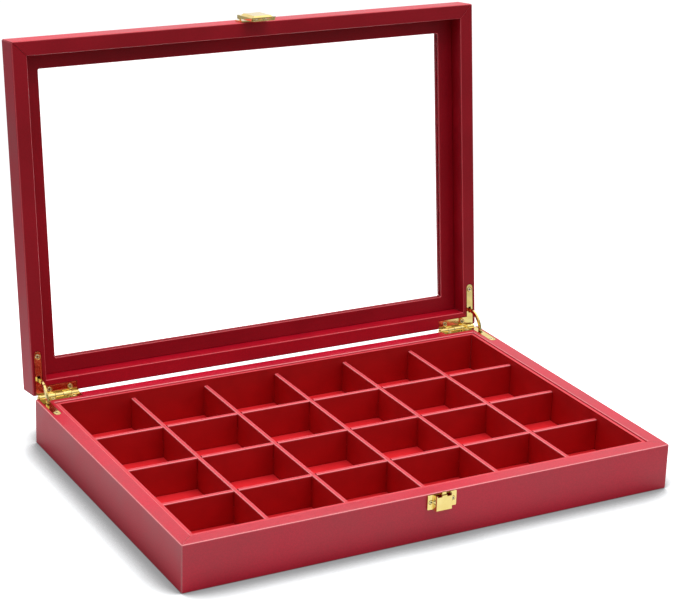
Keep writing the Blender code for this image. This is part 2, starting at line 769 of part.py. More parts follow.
def countersink_mesh(head, shank):
    """The hole for a countersunk screw, running out past both faces of its plate."""
    slope = (head - shank) / SCREW_HEAD_HEIGHT
    narrow = shank + SCREW_FIT
    depth = SCREW_HEAD_HEIGHT + SCREW_FIT
    wide = narrow + slope * (depth + OVERRUN)
    profile = [(0, OVERRUN), (wide, OVERRUN), (narrow, -depth),
               (narrow, -depth - OVERRUN), (0, -depth - OVERRUN)]
    return turned_mesh("countersink", profile)


HINGE_SCREW = screw_mesh(HINGE_SCREW_HEAD, HINGE_SCREW_SHANK, HINGE_SCREW_LENGTH)
CATCH_SCREW = screw_mesh(CATCH_SCREW_HEAD, CATCH_SCREW_SHANK, CATCH_SCREW_LENGTH)
HINGE_HOLE = countersink_mesh(HINGE_SCREW_HEAD, HINGE_SCREW_SHANK)
CATCH_HOLE = countersink_mesh(CATCH_SCREW_HEAD, CATCH_SCREW_SHANK)
UPRIGHT = (0, 0, 0)
UPSIDE_DOWN = (math.pi, 0, 0)
FROM_FRONT = (math.pi / 2, 0, 0)


def place_screw(name, mesh, place, turn=UPRIGHT):
    screw = bpy.data.objects.new(name, mesh)
    screw.location = place
    screw.rotation_euler = turn
    return link(screw, PARTS, GOLD)


def countersink(mesh, place, turn=UPRIGHT):
    """A cutter for a screw's hole, with the head's top at the given place."""
    cutter = bpy.data.objects.new("countersink", mesh.copy())
    cutter.location = place
    cutter.rotation_euler = turn
    return link(cutter, CUTTERS)


# Hinges

def make_leaf(name, side, lid):
    """One leaf: its plate, its own knuckles, the stay's slot and the screw holes."""
    rim = LID_RIM if lid else BASE_HEIGHT
    inward = 1 if lid else -1
    low, high = sorted((rim, rim + inward * LEAF_THICK))
    leaf = outline_plate(name, leaf_outline(side), "Z", low, high, PARTS, GOLD)
    pieces = []
    for index, (start, end) in enumerate(knuckle_spans()):
        if index % 2 != int(lid):
            continue
        left, right = span_x(side, start, end)
        pieces.append(block("web", (left, HALF_DEPTH - LEAF_BACK_EDGE - CLEARANCE, low), (right, AXIS_Y, high)))
        pieces.append(rod("knuckle", ((left + right) / 2, AXIS_Y, AXIS_Z), BARREL_RADIUS, right - left,
                          segments=BARREL_SEGMENTS))
    combine(leaf, pieces, "UNION")
    left, right = span_x(side, BARREL_START - OVERRUN, BACK_LEG_LENGTH + OVERRUN)
    cutters = [rod("pin hole", ((left + right) / 2, AXIS_Y, AXIS_Z), PIN_RADIUS + PIN_FIT, right - left),
               stay_slot(side, low - OVERRUN, high + OVERRUN)]
    turn = UPSIDE_DOWN if lid else UPRIGHT
    for x, y in screw_places(side):
        cutters.append(countersink(HINGE_HOLE, (x, y, rim), turn))
    combine(leaf, cutters)
    smooth(leaf)
    if lid:
        carry(leaf, LID_PIVOT)
    return leaf


def make_hinge_pin(name, side):
    """A pin with a low head at each end, which the base's leaf holds."""
    left, right = span_x(side, BARREL_START - CLEARANCE, BACK_LEG_LENGTH + CLEARANCE)
    middle = ((left + right) / 2, AXIS_Y, AXIS_Z)
    pin = rod(name, middle, PIN_RADIUS, right - left + PIN_HEAD_THICK, collection=PARTS, material=GOLD)
    heads = []
    for x, outward in ((left, -1), (right, 1)):
        centre = (x + outward * PIN_HEAD_THICK / 2, AXIS_Y, AXIS_Z)
        radii = (PIN_RADIUS, PIN_HEAD_RADIUS) if outward < 0 else (PIN_HEAD_RADIUS, PIN_RADIUS)
        heads.append(rod("pin head", centre, radii[0], PIN_HEAD_THICK, "X", radii[1]))
    combine(pin, heads, "UNION")
    smooth(pin)
    return pin


def make_stay(name, side):
    """A flat quadrant about the hinge axis, with a lug at each end to stop it."""
    outline = arc((0, 0), STAY_OUTER_RADIUS, STAY_START, STAY_END, ARC_STEPS)
    outline += arc((0, 0), LUG_INNER_RADIUS, STAY_END, STAY_END - STAY_LUG_ANGLE, CORNER_STEPS)
    outline += arc((0, 0), STAY_INNER_RADIUS, STAY_END - STAY_LUG_ANGLE, STAY_LOW_ANGLE, ARC_STEPS)
    outline += arc((0, 0), LUG_INNER_RADIUS, STAY_LOW_ANGLE, STAY_START, CORNER_STEPS)
    points = [(AXIS_Y - across, AXIS_Z + up) for across, up in outline]
    left, right = span_x(side, LEG_MIDDLE - STAY_THICK / 2, LEG_MIDDLE + STAY_THICK / 2)
    stay = outline_plate(name, points, "X", left, right, PARTS, GOLD)
    smooth(stay)
    carry(stay, pivot(name + "_pivot", HINGE_AXIS))


def make_hinges():
    for side_name, side in (("left", -1), ("right", 1)):
        make_leaf(side_name + "_hinge_lower_leaf", side, lid=False)
        make_leaf(side_name + "_hinge_upper_leaf", side, lid=True)
        make_hinge_pin(side_name + "_hinge_pin", side)
        make_stay(side_name + "_stay", side)
        for index, (x, y) in enumerate(screw_places(side)):
            name = "%s_hinge_lower_screw_%d" % (side_name, index + 1)
            place_screw(name, HINGE_SCREW, (x, y, BASE_HEIGHT))
        for index, (x, y) in enumerate(screw_places(side)):
            name = "%s_hinge_upper_screw_%d" % (side_name, index + 1)
            carry(place_screw(name, HINGE_SCREW, (x, y, LID_RIM), UPSIDE_DOWN), LID_PIVOT)


# Keeper on the base

def plate_outline(width, height, low):
    """A catch plate's face, in x and z."""
    outline = rounded_rectangle(width / 2, height / 2, CATCH_PLATE_CORNER)
    return [(CATCH_MIDDLE + x, low + height / 2 + z) for x, z in outline]


def box_outline(trim, back, front):
    """The keeper's box in plan, wider at its foot than at its face, less a wall."""
    foot = BOX_FOOT_WIDTH / 2 - trim
    face = BOX_FACE_WIDTH / 2 - trim
    return [(CATCH_MIDDLE - foot, back), (CATCH_MIDDLE + foot, back),
            (CATCH_MIDDLE + face, front), (CATCH_MIDDLE - face, front)]


def make_keeper():
    """A stamped plate raised to a hollow box, with a tongue standing on its top."""
    plate_low = BASE_HEIGHT - KEEPER_DROP - KEEPER_HEIGHT
    keeper = outline_plate("keeper", plate_outline(KEEPER_WIDTH, KEEPER_HEIGHT, plate_low), "Y",
                           PLATE_FRONT, PLATE_BACK, PARTS, GOLD)
    face = FRONT_FACE - BOX_PROUD
    foot = (PLATE_BACK + PLATE_FRONT) / 2
    combine(keeper, [outline_plate("box", box_outline(0, foot, face), "Z", BOX_LOW, BOX_TOP)], "UNION")
    hollow = outline_plate("hollow", box_outline(BOX_WALL, PLATE_BACK + OVERRUN, face + BOX_WALL), "Z",
                           BOX_LOW + BOX_WALL, BOX_TOP - BOX_WALL)
    combine(keeper, [hollow])
    tongue_back = FRONT_FACE - TONGUE_PROUD
    tongue = block("tongue", (CATCH_MIDDLE - TONGUE_WIDTH / 2, tongue_back - TONGUE_THICK, BOX_TOP - BOX_WALL / 2),
                   (CATCH_MIDDLE + TONGUE_WIDTH / 2, tongue_back, TONGUE_TOP))
    combine(keeper, [tongue], "UNION")
    cutters = []
    for side in (-1, 1):
        near = CATCH_MIDDLE + side * (TONGUE_WIDTH / 2 + CLEARANCE)
        left, right = sorted((near, near + side * NOTCH_WIDTH))
        cutters.append(block("notch", (left, face - OVERRUN, BOX_TOP - NOTCH_DEPTH),
                             (right, PLATE_FRONT - CLEARANCE, BOX_TOP + OVERRUN)))
    for x, z in catch_screw_places():
        cutters.append(countersink(CATCH_HOLE, (x, PLATE_FRONT, z), FROM_FRONT))
    combine(keeper, cutters)
    smooth(keeper)
    for index, (x, z) in enumerate(catch_screw_places()):
        place_screw("keeper_screw_%d" % (index + 1), CATCH_SCREW, (x, PLATE_FRONT, z), FROM_FRONT)


# Latch on the lid

def lug_outline():
    """A lug from the side: round at the pin, straight back to its plate."""
    back = PLATE_BACK - CATCH_PLATE_THICK / 2
    end = arc((FLAP_AXIS.y, FLAP_AXIS.z), LUG_RADIUS, math.pi / 2, 3 * math.pi / 2, CORNER_STEPS_LARGE)
    return end + [(back, FLAP_AXIS.z - LUG_RADIUS), (back, FLAP_AXIS.z + LUG_RADIUS)]


def make_latch_plate():
    """The plate that carries the flap's pin between two lugs."""
    plate = outline_plate("latch_plate", plate_outline(LATCH_PLATE_WIDTH, LATCH_PLATE_HEIGHT,
                                                       LID_RIM + LATCH_PLATE_RISE),
                          "Y", PLATE_FRONT, PLATE_BACK, PARTS, GOLD)
    pieces = []
    for side in (-1, 1):
        near = CATCH_MIDDLE + side * LUG_SIDE
        left, right = sorted((near, near + side * LUG_THICK))
        pieces.append(outline_plate("lug", lug_outline(), "X", left, right))
    combine(plate, pieces, "UNION")
    cutters = [rod("pin hole", FLAP_AXIS, LATCH_PIN_RADIUS + PIN_FIT, FLAP_WIDTH)]
    for x, z in latch_screw_places():
        cutters.append(countersink(CATCH_HOLE, (x, PLATE_FRONT, z), FROM_FRONT))
    combine(plate, cutters)
    smooth(plate)
    carry(plate, LID_PIVOT)
    for index, (x, z) in enumerate(latch_screw_places()):
        screw = place_screw("latch_screw_%d" % (index + 1), CATCH_SCREW, (x, PLATE_FRONT, z), FROM_FRONT)
        carry(screw, LID_PIVOT)
    pin = rod("latch_pin", FLAP_AXIS, LATCH_PIN_RADIUS, FLAP_WIDTH - CLEARANCE, collection=PARTS, material=GOLD)
    smooth(pin)
    carry(pin, LID_PIVOT)


def ear_outline(back):
    """An ear of the flap from the side: round at the pin, straight to the flap's plate."""
    end = arc((FLAP_AXIS.y, FLAP_AXIS.z), LUG_RADIUS, -math.pi / 2, math.pi / 2, CORNER_STEPS_LARGE)
    return end + [(back, FLAP_AXIS.z + LUG_RADIUS), (back, FLAP_AXIS.z - LUG_RADIUS)]


def pad_block(name, back, face):
    """A block over the place of the flap's pad, chamfered all round its face."""
    half = FLAP_WIDTH / 2 - PAD_FROM_SIDE
    solid = block(name, (CATCH_MIDDLE - half, face, FLAP_BOTTOM + PAD_FROM_END),
                  (CATCH_MIDDLE + half, back, FLAP_AXIS.z - PAD_FROM_PIN))
    return round_edges(solid, PAD_RISE, lambda first, second: same(first.y, face) and same(second.y, face), 1)


def make_flap():
    """A stamped flap with a raised hollow pad for the keeper's box, on two ears that hold the pin.

    It is drawn upright and then leans in by its tilt, until its sides are near the plates.
    """
    half = FLAP_WIDTH / 2
    inner = FLAP_INSIDE
    outer = inner - FLAP_THICK
    middle = (inner + outer) / 2
    top = FLAP_AXIS.z + FLAP_TAIL
    bottom = FLAP_BOTTOM
    bend = bottom + LIP_LENGTH
    outline = [(inner, top), (inner, bend), (inner - LIP_RISE, bottom), (outer - LIP_RISE, bottom), (outer, bend)]
    outline += [(outer + x, top + z) for x, z in arc((FLAP_TAIL_ROUND, -FLAP_TAIL_ROUND), FLAP_TAIL_ROUND,
                                                     math.pi, math.pi / 2, CORNER_STEPS)]
    flap = outline_plate("latch_flap", outline, "X", CATCH_MIDDLE - half, CATCH_MIDDLE + half, PARTS, GOLD)
    pieces = [pad_block("pad", middle, outer - PAD_RISE)]
    for side in (-1, 1):
        left, right = sorted((CATCH_MIDDLE + side * half, CATCH_MIDDLE + side * (half - FLAP_THICK)))
        pieces.append(block("skirt", (left, middle, bend), (right, inner + FLAP_SKIRT, FLAP_AXIS.z)))
        pieces.append(outline_plate("ear", ear_outline(middle), "X", left, right))
    combine(flap, pieces, "UNION")
    combine(flap, [rod("pin hole", FLAP_AXIS, LATCH_PIN_RADIUS + PIN_FIT, FLAP_WIDTH + OVERRUN),
                   pad_block("hollow", inner + OVERRUN, outer - PAD_RISE + PAD_WALL)])
    smooth(flap)
    carry(flap, pivot("flap_pivot", FLAP_AXIS, parent=LID_PIVOT, turn=FLAP_TILT))


make_base_rails()
make_bottom_panel()
make_liner()
make_tray_floor()
make_dividers()
make_lid_rails()
make_glazing()
make_hinges()
make_keeper()
make_latch_plate()
make_flap()
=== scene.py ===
# %% [markdown]
# # A jewelry tray with a glazed lid
#
# This lesson dresses the plain solids of a red display tray: a shallow box with
# 24 cells, a lid with a window, two hinges with curved stays and a small latch.
# The solids are already the right size, so most of them keep their shape and
# get a finish, and only the metal fittings are made anew with softer edges.

# %% Load the tray's solids
import json
import math

import bmesh
import bpy
from mathutils import Matrix, Vector


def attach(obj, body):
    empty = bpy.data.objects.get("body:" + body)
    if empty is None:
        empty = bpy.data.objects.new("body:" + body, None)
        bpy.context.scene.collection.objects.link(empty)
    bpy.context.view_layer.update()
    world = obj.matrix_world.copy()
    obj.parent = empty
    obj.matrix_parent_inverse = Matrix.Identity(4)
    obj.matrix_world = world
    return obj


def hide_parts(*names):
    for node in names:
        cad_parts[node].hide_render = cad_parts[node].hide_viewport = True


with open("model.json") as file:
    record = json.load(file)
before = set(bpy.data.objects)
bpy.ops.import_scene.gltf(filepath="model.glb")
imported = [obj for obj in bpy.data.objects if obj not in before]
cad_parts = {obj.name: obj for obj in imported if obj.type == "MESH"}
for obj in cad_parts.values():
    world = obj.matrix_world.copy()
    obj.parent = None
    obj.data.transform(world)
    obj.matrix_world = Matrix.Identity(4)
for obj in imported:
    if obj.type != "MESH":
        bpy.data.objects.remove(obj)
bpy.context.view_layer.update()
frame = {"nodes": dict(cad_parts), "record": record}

NODES = frame["nodes"]

# %% [markdown]
# ## Small helpers
#
# Colours are written as the hex values that a paint chart would give. Blender's
# shaders want linear light, so one function turns them. Lengths are easier to
# compare with a real tray in millimetres, so another turns those to metres, and
# a third gives the scale of a pattern whose size is known in millimetres.

# %% Colour and length helpers
def linear(hex_colour):
    """A hex sRGB colour as the linear RGBA that a shader socket takes."""
    values = []
    for start in (0, 2, 4):
        value = int(hex_colour[start:start + 2], 16) / 255
        values.append(value / 12.92 if value <= 0.04045 else ((value + 0.055) / 1.055) ** 2.4)
    return (*values, 1.0)


def mm(value):
    """Millimetres as metres."""
    return value / 1000


def per_mm(length):
    """The texture scale at which one pattern cell spans a length in millimetres."""
    return 1000 / length


print("a lacquer red is", [round(v, 3) for v in linear("CE0A30")])

# %% [markdown]
# ## The camera
#
# The camera was solved once from the straight edges of the real tray, so its
# place is a handful of numbers: where it looks from, what it looks at, a small
# roll and a long lens. The shift centres the picture as the photographer did.

# %% Set the camera
PICTURE = (679, 610)
AZIMUTH, ELEVATION, ROLL = (math.radians(angle) for angle in (-29.663, 20.002, 2.194))
DISTANCE = 1.40562
LOOK_AT = Vector((0.007008, -0.004080, 0.121435))
FOCAL_PIXELS = 2101.04
CENTRE_PIXEL = (365.09, 300.13)
SENSOR = 36.0


def make_camera():
    """A camera whose own axes are built from the azimuth, elevation and roll."""
    away = Vector((math.sin(AZIMUTH) * math.cos(ELEVATION),
                   -math.cos(AZIMUTH) * math.cos(ELEVATION), math.sin(ELEVATION)))
    level = Vector((math.cos(AZIMUTH), math.sin(AZIMUTH), 0))
    upright = away.cross(level)
    right = level * math.cos(ROLL) + upright * math.sin(ROLL)
    up = -level * math.sin(ROLL) + upright * math.cos(ROLL)
    data = bpy.data.cameras.new("camera")
    data.sensor_fit = "HORIZONTAL"
    data.sensor_width = SENSOR
    data.lens = FOCAL_PIXELS / PICTURE[0] * SENSOR
    data.shift_x = (PICTURE[0] / 2 - CENTRE_PIXEL[0]) / PICTURE[0]
    data.shift_y = (CENTRE_PIXEL[1] - PICTURE[1] / 2) / PICTURE[0]
    camera = bpy.data.objects.new("camera", data)
    place = Matrix((right, up, away)).transposed().to_4x4()
    place.translation = LOOK_AT + away * DISTANCE
    camera.matrix_world = place
    bpy.context.scene.collection.objects.link(camera)
    bpy.context.scene.camera = camera
    return camera


camera = make_camera()
bpy.context.scene.view_settings.view_transform = "Standard"
print("camera stands at", [round(v, 3) for v in camera.location])

# %% [markdown]
# ## One way to build a material
#
# Every finish below is a small tree of nodes. One function adds a node, sets its
# properties and fills its sockets, so each tree reads as a list of what it does.
# A socket goes by its name, with _ for a space, or by its number, as in i6.

# %% The node helper
def fill_socket(tree, socket, value):
    """Gives a socket a link where the value is another socket, and else the value."""
    if isinstance(value, bpy.types.NodeSocket):
        tree.links.new(value, socket)
    else:
        socket.default_value = value


def add_node(tree, kind, props=None, **sockets):
    """Adds a node; props are its own settings, and each socket gets a value or a link."""
    node = tree.nodes.new(kind)
    for key, value in (props or {}).items():
        setattr(node, key, value)
    for key, value in sockets.items():
        numbered = key[0] == "i" and key[1:].isdigit()
        fill_socket(tree, node.inputs[int(key[1:]) if numbered else key.replace("_", " ")], value)
    return node


def set_sockets(tree, shader, **sockets):
    """Fills a shader's sockets with values or links."""
    for key, value in sockets.items():
        fill_socket(tree, shader.inputs[key.replace("_", " ")], value)


def new_material(name):
    """A material with its Principled shader, ready for sockets and links."""
    material = bpy.data.materials.new(name)
    material.use_nodes = True
    return material, material.node_tree, material.node_tree.nodes["Principled BSDF"]


def dress(material, *names):
    """Gives a material to solids, through their own material slots."""
    for name in names:
        solid = NODES[name]
        if not solid.material_slots:
            solid.data.materials.append(material)
        for place in solid.material_slots:
            place.material = material


print("helpers ready")

# %% [markdown]
# ## Which way a face looks
#
# Three painted marks on this tray follow the direction of a face. On the
# rounded corners a painted highlight shows each corner as a fine pink line. The
# lid's inside is painted a deeper red than its outside: painted shade. The top
# faces of the thin boards are painted paler than their sides: painted light.
#
# A painted mask would have to be drawn corner by corner. The face's own
# direction gives each mask for nothing: on a flat it points straight along one
# axis, on a rounded corner between two, and on the outside outward or up. The
# lid stands open when it is loaded, so its directions are first turned back by
# the angle that it is open.

# %% Masks from a face's direction
OPEN_ANGLE = math.radians(96.8)
FLAT, CORNER = 0.99, 0.80       # a direction's largest part, on a flat and on a rounded corner
SIDEWAYS, OUTWARD = 0.5, 0.8    # its outward part, where the outer coat starts and where it is full
UPRIGHT, CROWNED = 0.3, 0.8     # its upward part, where the painted light on top starts and where it is full


def own_direction(tree, lean=0.0):
    """The way a face looks, as on the shut tray."""
    face = add_node(tree, "ShaderNodeNewGeometry").outputs["True Normal"]
    own = add_node(tree, "ShaderNodeVectorTransform",
                   {"vector_type": "NORMAL", "convert_from": "WORLD", "convert_to": "OBJECT"}, Vector=face)
    level = add_node(tree, "ShaderNodeVectorRotate", {"rotation_type": "X_AXIS"},
                     Vector=own.outputs[0], Angle=lean)
    return level.outputs[0]


def edge_mask(tree, level):
    """One on the rounded corners and nought on the flats."""
    sides = add_node(tree, "ShaderNodeVectorMath", {"operation": "ABSOLUTE"}, i0=level)
    split = add_node(tree, "ShaderNodeSeparateXYZ", Vector=sides.outputs[0])
    pair = add_node(tree, "ShaderNodeMath", {"operation": "MAXIMUM"},
                    i0=split.outputs["X"], i1=split.outputs["Y"])
    most = add_node(tree, "ShaderNodeMath", {"operation": "MAXIMUM"},
                    i0=pair.outputs[0], i1=split.outputs["Z"])
    return add_node(tree, "ShaderNodeMapRange", Value=most.outputs[0],
                    From_Min=FLAT, From_Max=CORNER).outputs[0]


def outside_mask(tree, level, outward):
    """One on the faces that show on the shut tray: those that look outward or up."""
    aside = add_node(tree, "ShaderNodeVectorMath", {"operation": "DOT_PRODUCT"}, i0=level, i1=outward)
    height = add_node(tree, "ShaderNodeSeparateXYZ", Vector=level)
    most = add_node(tree, "ShaderNodeMath", {"operation": "MAXIMUM"},
                    i0=aside.outputs["Value"], i1=height.outputs["Z"])
    return add_node(tree, "ShaderNodeMapRange", Value=most.outputs[0],
                    From_Min=SIDEWAYS, From_Max=OUTWARD).outputs[0]


def top_light_mask(tree):
    """One on faces that look up and nought on upright ones."""
    height = add_node(tree, "ShaderNodeSeparateXYZ", Vector=own_direction(tree))
    return add_node(tree, "ShaderNodeMapRange", Value=height.outputs["Z"],
                    From_Min=UPRIGHT, From_Max=CROWNED).outputs[0]


print("the lid's directions are turned back by", round(math.degrees(OPEN_ANGLE), 1), "degrees")

# %% [markdown]
# ## Red satin lacquer
#
# The rails are fibreboard or a plain wood, sprayed with a satin red lacquer and
# rubbed down. A sprayed satin coat scatters light softly, so its highlights are
# broad. It still shows a faint orange peel of about 2 mm, a cloudiness of a few
# centimetres where the coat is thicker, and a very fine grit. The grain under
# it only telegraphs through as long faint streaks along each rail.
#
# The streaks are a noise stretched along the rail: the coordinate is scaled
# down along the rail's length, so rails along X and along Y each get their own
# direction. The relief is a few hundredths of a millimetre, so bump is enough.

# %% Lacquer for the rails
LACQUER_IOR = 1.5
LACQUER_ROUGHNESS = 0.38
EDGE_HIGHLIGHT_SHARE = 0.90     # how much of the painted edge highlight shows through
RUBBED_GLOSS = 0.14   # how much smoother a rubbed corner is
PEEL_SIZE = 2.2       # orange peel of a spray coat, in millimetres
CLOUD_SIZE = 45.0     # thicker and thinner patches of the coat
GRIT_SIZE = 0.9       # real grit is finer; it is drawn as coarse as it needs to show
GRIT_SHARE = 0.07     # how much paler or darker a speck may be
STREAK_WIDTH = 1.1    # the grain that telegraphs through the coat
STREAK_LENGTH = 90.0
STREAK_SHARE = 0.25   # how much the streaks add to the cloudiness
# The third colour of each set is a painted highlight for the rounded corners.
OUTER_RED, OUTER_DEEP, OUTER_EDGE_HIGHLIGHT = "CE0A30", "C20A2C", "FFA8AC"


def red_lacquer(name, along, base, deep, edge, roughness, shine, lean=0.0, outward=None):
    """Satin lacquer whose grain runs along the axis named by along, with a painted highlight on its edges.
    """
    material, tree, shader = new_material(name)
    place = add_node(tree, "ShaderNodeTexCoord").outputs["Object"]
    level = own_direction(tree, lean)
    stretch = [STREAK_WIDTH / STREAK_LENGTH if axis == along else 1.0 for axis in "XYZ"]
    grain_place = add_node(tree, "ShaderNodeMapping", Vector=place, Scale=stretch)
    grain = add_node(tree, "ShaderNodeTexNoise", Vector=grain_place.outputs[0],
                     Scale=per_mm(STREAK_WIDTH), Detail=4.0, Roughness=0.6)
    cloud = add_node(tree, "ShaderNodeTexNoise", Vector=place, Scale=per_mm(CLOUD_SIZE), Detail=2.0)
    grit = add_node(tree, "ShaderNodeTexNoise", Vector=place, Scale=per_mm(GRIT_SIZE), Detail=2.0)
    peel = add_node(tree, "ShaderNodeTexNoise", Vector=place, Scale=per_mm(PEEL_SIZE), Detail=1.0)

    # Colour: a cloudy mix of two reds, the outer coat, the painted highlight on the corners, the grit.
    both = add_node(tree, "ShaderNodeMath", {"operation": "MULTIPLY_ADD"},
                    i0=grain.outputs["Fac"], i1=STREAK_SHARE, i2=cloud.outputs["Fac"])
    spread = add_node(tree, "ShaderNodeMapRange", Value=both.outputs[0],
                      From_Min=0.40 + STREAK_SHARE * 0.35, From_Max=0.60 + STREAK_SHARE * 0.65)
    coat = add_node(tree, "ShaderNodeMix", {"data_type": "RGBA"}, Factor=spread.outputs[0],
                    i6=linear(deep), i7=linear(base))
    if outward is not None:
        outer = add_node(tree, "ShaderNodeMix", {"data_type": "RGBA"}, Factor=spread.outputs[0],
                         i6=linear(OUTER_DEEP), i7=linear(OUTER_RED))
        coat = add_node(tree, "ShaderNodeMix", {"data_type": "RGBA"},
                        Factor=outside_mask(tree, level, outward), i6=coat.outputs[2], i7=outer.outputs[2])
    # Painted highlight: the corner mask brings in the pale edge colour, which stands for light caught by
    # the rounded corners.
    corner = edge_mask(tree, level)
    edge_sheen = add_node(tree, "ShaderNodeMath", {"operation": "MULTIPLY"}, i0=corner, i1=EDGE_HIGHLIGHT_SHARE)
    paint = add_node(tree, "ShaderNodeMix", {"data_type": "RGBA"}, Factor=edge_sheen.outputs[0],
                     i6=coat.outputs[2], i7=linear(edge))
    speck = add_node(tree, "ShaderNodeMapRange", Value=grit.outputs["Fac"], From_Min=0.35, From_Max=0.65,
                     To_Min=1.0 - GRIT_SHARE, To_Max=1.0 + GRIT_SHARE)
    ground = add_node(tree, "ShaderNodeVectorMath", {"operation": "SCALE"}, i0=paint.outputs[2],
                      Scale=speck.outputs[0])

    # Surface: roughness follows the cloud, and peel, grit and grain are three bumps.
    gloss = add_node(tree, "ShaderNodeMapRange", Value=cloud.outputs["Fac"], From_Min=0.3, From_Max=0.7,
                     To_Min=roughness - 0.04, To_Max=roughness + 0.05)
    rubbed = add_node(tree, "ShaderNodeMath", {"operation": "MULTIPLY_ADD"}, i0=corner, i1=-RUBBED_GLOSS,
                      i2=gloss.outputs[0])
    waves = add_node(tree, "ShaderNodeBump", Height=peel.outputs["Fac"], Strength=0.10, Distance=mm(0.05))
    fine = add_node(tree, "ShaderNodeBump", Height=grit.outputs["Fac"], Strength=0.10, Distance=mm(0.03),
                    Normal=waves.outputs[0])
    lines = add_node(tree, "ShaderNodeBump", Height=grain.outputs["Fac"], Strength=0.12, Distance=mm(0.04),
                     Normal=fine.outputs[0])
    set_sockets(tree, shader, Base_Color=ground.outputs[0], Roughness=rubbed.outputs[0],
                Normal=lines.outputs[0], IOR=LACQUER_IOR, Specular_IOR_Level=shine)
    return material


print("lacquer of roughness", LACQUER_ROUGHNESS)

# %% [markdown]
# ## Two coats of red
#
# The base and the lid's outside have the same bright red. The lid's faces that
# are hidden when it is shut look a deeper red on the real tray. That is shade,
# which a plain light doesn't bring out, so it is painted: those faces carry
# painted shade. The back rail, lowest on the open lid, looks a little brighter
# than the lid's other rails, so its paint carries less painted shade. The whole lid shines less than the
# base.
#
# Light could be kept off those faces instead, but that would look wrong as soon
# as the lid is shut or the tray is turned. The paint turns with the lid.
#
# The grain runs along each rail. The open lid's side rails stand up, so theirs
# runs along Z.

# %% Lacquer the eight rails
BASE_SHINE = 0.6
LID_SHINE = 0.28
# The lid's reds are painted shade for its hidden faces; the back rail's pair carries less of it, and the
# edge colour is a painted highlight.
LID_SHADED_RED, LID_SHADED_DEEP, LID_EDGE_HIGHLIGHT = "9E0A1E", "94081A", "E06068"
LID_BACK_SHADED_RED, LID_BACK_SHADED_DEEP = "B60A22", "AC0820"

for along, sides in (("X", ("front", "back")), ("Y", ("left", "right"))):
    outer_coat = red_lacquer("red satin lacquer base along " + along, along,
                             OUTER_RED, OUTER_DEEP, OUTER_EDGE_HIGHLIGHT, LACQUER_ROUGHNESS, BASE_SHINE)
    dress(outer_coat, *("base_%s_rail" % side for side in sides))
for side, along, outward, red, deep in (
        ("front", "X", (0, -1, 0), LID_SHADED_RED, LID_SHADED_DEEP),
        ("back", "X", (0, 1, 0), LID_BACK_SHADED_RED, LID_BACK_SHADED_DEEP),
        ("left", "Z", (-1, 0, 0), LID_SHADED_RED, LID_SHADED_DEEP),
        ("right", "Z", (1, 0, 0), LID_SHADED_RED, LID_SHADED_DEEP)):
    lid_coat = red_lacquer("red satin lacquer lid " + side, along, red, deep, LID_EDGE_HIGHLIGHT,
                           LACQUER_ROUGHNESS, LID_SHINE, OPEN_ANGLE, outward)
    dress(lid_coat, "lid_%s_rail" % side)
print("lacquered eight rails")

# %% [markdown]
# ## The lining, the floor and the dividers
#
# Inside, the thin boards are sprayed with a flatter and more saturated red. The
# coat is nearly matt. The walls are painted a darker red than the floor, as
# painted shade where they face each other, and the floor's brighter red is
# painted light where the light falls in. The boards have a fine tooth of under a
# millimetre, drawn a little coarser than it is so that it shows. The top faces of
# the dividers and of the lining are painted paler, as painted light from above:
# a mask picks the faces that look up.

# %% Matt red for the inside
LINING_ROUGHNESS = 0.55
TOOTH_SIZE = 1.0
TOOTH_SHARE = 0.4
MOTTLE_SIZE = 14.0


def matt_red(name, base, deep, edge, shine, lit_top=None):
    """A flat sprayed coat on board, with a fine tooth, a soft mottle, a painted highlight on its corners
    and, where given, painted light on its top faces.
    """
    material, tree, shader = new_material(name)
    place = add_node(tree, "ShaderNodeTexCoord").outputs["Object"]
    mottle = add_node(tree, "ShaderNodeTexNoise", Vector=place, Scale=per_mm(MOTTLE_SIZE), Detail=3.0)
    tooth = add_node(tree, "ShaderNodeTexNoise", Vector=place, Scale=per_mm(TOOTH_SIZE), Detail=3.0)
    blend = add_node(tree, "ShaderNodeMath", {"operation": "MULTIPLY_ADD"},
                     i0=tooth.outputs["Fac"], i1=TOOTH_SHARE, i2=mottle.outputs["Fac"])
    spread = add_node(tree, "ShaderNodeMapRange", Value=blend.outputs[0], From_Min=0.50, From_Max=0.90)
    coat = add_node(tree, "ShaderNodeMix", {"data_type": "RGBA"}, Factor=spread.outputs[0],
                    i6=linear(deep), i7=linear(base))
    # Painted light: faces that look up get the paler top colour, for the light that falls on them.
    if lit_top:
        coat = add_node(tree, "ShaderNodeMix", {"data_type": "RGBA"}, Factor=top_light_mask(tree),
                        i6=coat.outputs[2], i7=linear(lit_top))
    # Painted highlight: the pale edge colour on the rounded corners.
    edge_sheen = add_node(tree, "ShaderNodeMath", {"operation": "MULTIPLY"},
                    i0=edge_mask(tree, own_direction(tree)), i1=EDGE_HIGHLIGHT_SHARE)
    paint = add_node(tree, "ShaderNodeMix", {"data_type": "RGBA"}, Factor=edge_sheen.outputs[0],
                     i6=coat.outputs[2], i7=linear(edge))
    rough = add_node(tree, "ShaderNodeMapRange", Value=mottle.outputs["Fac"],
                     To_Min=LINING_ROUGHNESS - 0.06, To_Max=LINING_ROUGHNESS + 0.10)
    bump = add_node(tree, "ShaderNodeBump", Height=tooth.outputs["Fac"], Strength=0.2, Distance=mm(0.06))
    set_sockets(tree, shader, Base_Color=paint.outputs[2], Roughness=rough.outputs[0],
                Normal=bump.outputs[0], IOR=LACQUER_IOR, Specular_IOR_Level=shine)
    return material


